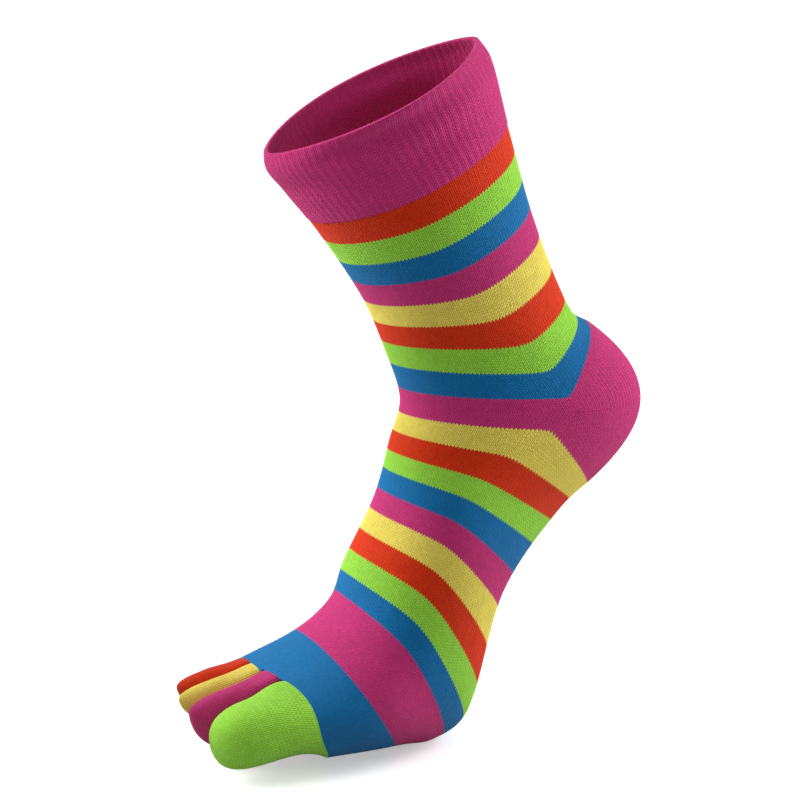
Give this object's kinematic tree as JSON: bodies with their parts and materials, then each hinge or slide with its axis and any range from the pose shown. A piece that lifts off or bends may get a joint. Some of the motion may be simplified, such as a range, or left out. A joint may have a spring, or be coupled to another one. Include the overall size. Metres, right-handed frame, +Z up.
{
  "type": "toe sock",
  "caption": "Knitted crew-height sock for a right foot, with a separate pocket for each toe, a shaped heel and an open doubled cuff.",
  "frame": {"origin": "middle of the opening at the top of the cuff", "axes": "+Z up, -X towards the toes, -Y towards the big toe's side; the heel is raised as on tiptoe"},
  "size_m": [0.2181, 0.091, 0.3131],
  "materials": {
    "magenta_welt": "double knit welt, fine vertical ribs, soft matt cotton",
    "magenta_heel": "spliced stocking-stitch knit, matt cotton",
    "striped_knit": "stocking-stitch knit in magenta, orange, lime, blue and yellow stripes, the base colour being the mean of the five, matt cotton",
    "lime_knit": "stocking-stitch knit, matt cotton",
    "magenta_knit": "stocking-stitch knit, matt cotton",
    "yellow_knit": "stocking-stitch knit, matt cotton",
    "orange_knit": "stocking-stitch knit, matt cotton",
    "blue_knit": "stocking-stitch knit, matt cotton"
  },
  "bodies": {
    "root": {"cuff": "magenta_welt", "leg": "striped_knit", "heel_pocket": "magenta_heel", "foot": "striped_knit", "big_toe": "lime_knit", "second_toe": "magenta_knit", "third_toe": "yellow_knit", "fourth_toe": "orange_knit", "little_toe": "blue_knit"}
  },
  "joints": []
}
